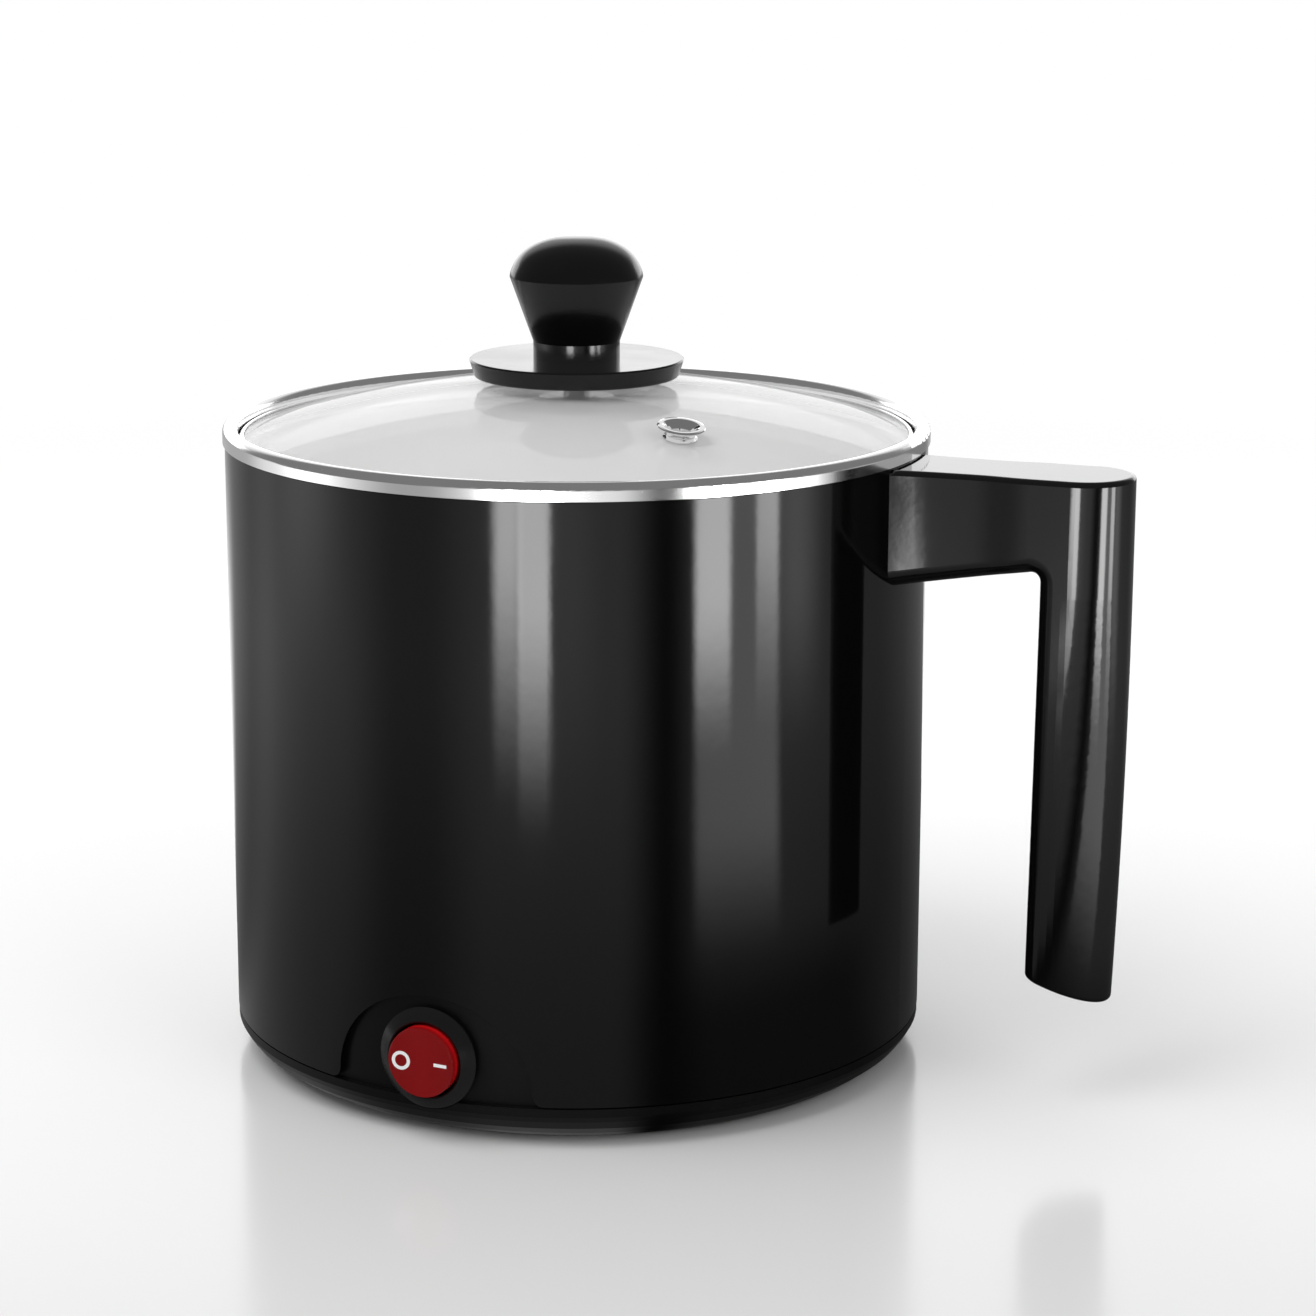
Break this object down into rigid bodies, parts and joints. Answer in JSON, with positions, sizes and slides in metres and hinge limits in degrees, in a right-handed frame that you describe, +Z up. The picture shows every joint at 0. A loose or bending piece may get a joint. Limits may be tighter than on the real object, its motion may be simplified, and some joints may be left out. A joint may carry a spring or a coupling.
{
  "type": "electric hot pot with lid",
  "caption": "Straight-sided black electric pot with a side handle, a round rocker switch in an arched opening at its foot, and a domed glass lid with a knob and a steam vent.",
  "frame": {"origin": "centre of the resting face, on the axis of the pot", "axes": "+Z up, +X out along the handle, -Y towards the rocker switch, +Y towards the appliance inlet"},
  "size_m": [0.2231, 0.1736, 0.1982],
  "materials": {
    "pot_steel": "bright satin",
    "body_black": "gloss black coating",
    "base_black": "satin black",
    "handle_black": "gloss black moulding",
    "knob_black": "satin black",
    "lid_glass": "clear",
    "vent_chrome": "polished",
    "rubber": "dull",
    "switch_black": "satin",
    "rocker_red": "dark red, translucent look",
    "mark_white": "printed white",
    "screw_steel": "zinc plated",
    "brass": "plain",
    "plate_aluminium": "as cast",
    "fuse_sleeve": "plain",
    "lead_brown": "silicone",
    "lead_blue": "silicone",
    "lead_green": "silicone"
  },
  "bodies": {
    "pot": {"base_cover": "base_black", "base_post_1": "screw_steel", "base_post_2": "screw_steel", "base_post_3": "screw_steel", "base_screw_1": "screw_steel", "base_screw_2": "screw_steel", "base_screw_3": "screw_steel", "foot_1": "rubber", "foot_2": "rubber", "foot_3": "rubber", "foot_4": "rubber", "grip_screw": "screw_steel", "handle_arm": "handle_black", "handle_grip": "handle_black", "handle_plate": "screw_steel", "handle_plug": "base_black", "handle_screw_1": "screw_steel", "handle_screw_2": "screw_steel", "heating_element": "screw_steel", "heating_plate": "plate_aluminium", "inlet_housing": "switch_black", "inlet_pin_earth": "brass", "inlet_pin_live": "brass", "inlet_pin_neutral": "brass", "inner_pot": "pot_steel", "lead_earth": "lead_green", "lead_fuse": "lead_brown", "lead_heater": "lead_brown", "lead_live": "lead_brown", "lead_neutral": "lead_blue", "lead_switched": "lead_brown", "outer_shell": "body_black", "switch_bezel": "switch_black", "switch_housing": "switch_black", "switch_terminal_1": "brass", "switch_terminal_2": "brass", "thermal_fuse": "fuse_sleeve", "thermostat": "switch_black", "thermostat_clip": "screw_steel"},
    "rocker": {"rocker": "rocker_red", "rocker_mark_off": "mark_white", "rocker_mark_on": "mark_white"},
    "lid": {"lid_glass": "lid_glass", "lid_band": "pot_steel", "vent_grommet": "vent_chrome", "knob_seal": "rubber", "knob_guard": "knob_black", "knob_grip": "knob_black", "knob_washer": "screw_steel", "knob_screw": "screw_steel", "knob_insert": "brass"}
  },
  "joints": [
    {"name": "rocker_tilt", "type": "hinge", "parent": "pot", "child": "rocker", "pos_m": [0, -0.083, 0.01965], "axis": [0, 0, 1], "range_deg": [-8.5, 8.5]},
    {"name": "lid_lift", "type": "slide", "parent": "pot", "child": "lid", "axis": [0, 0, 1], "range_m": [0, 0.12]}
  ]
}
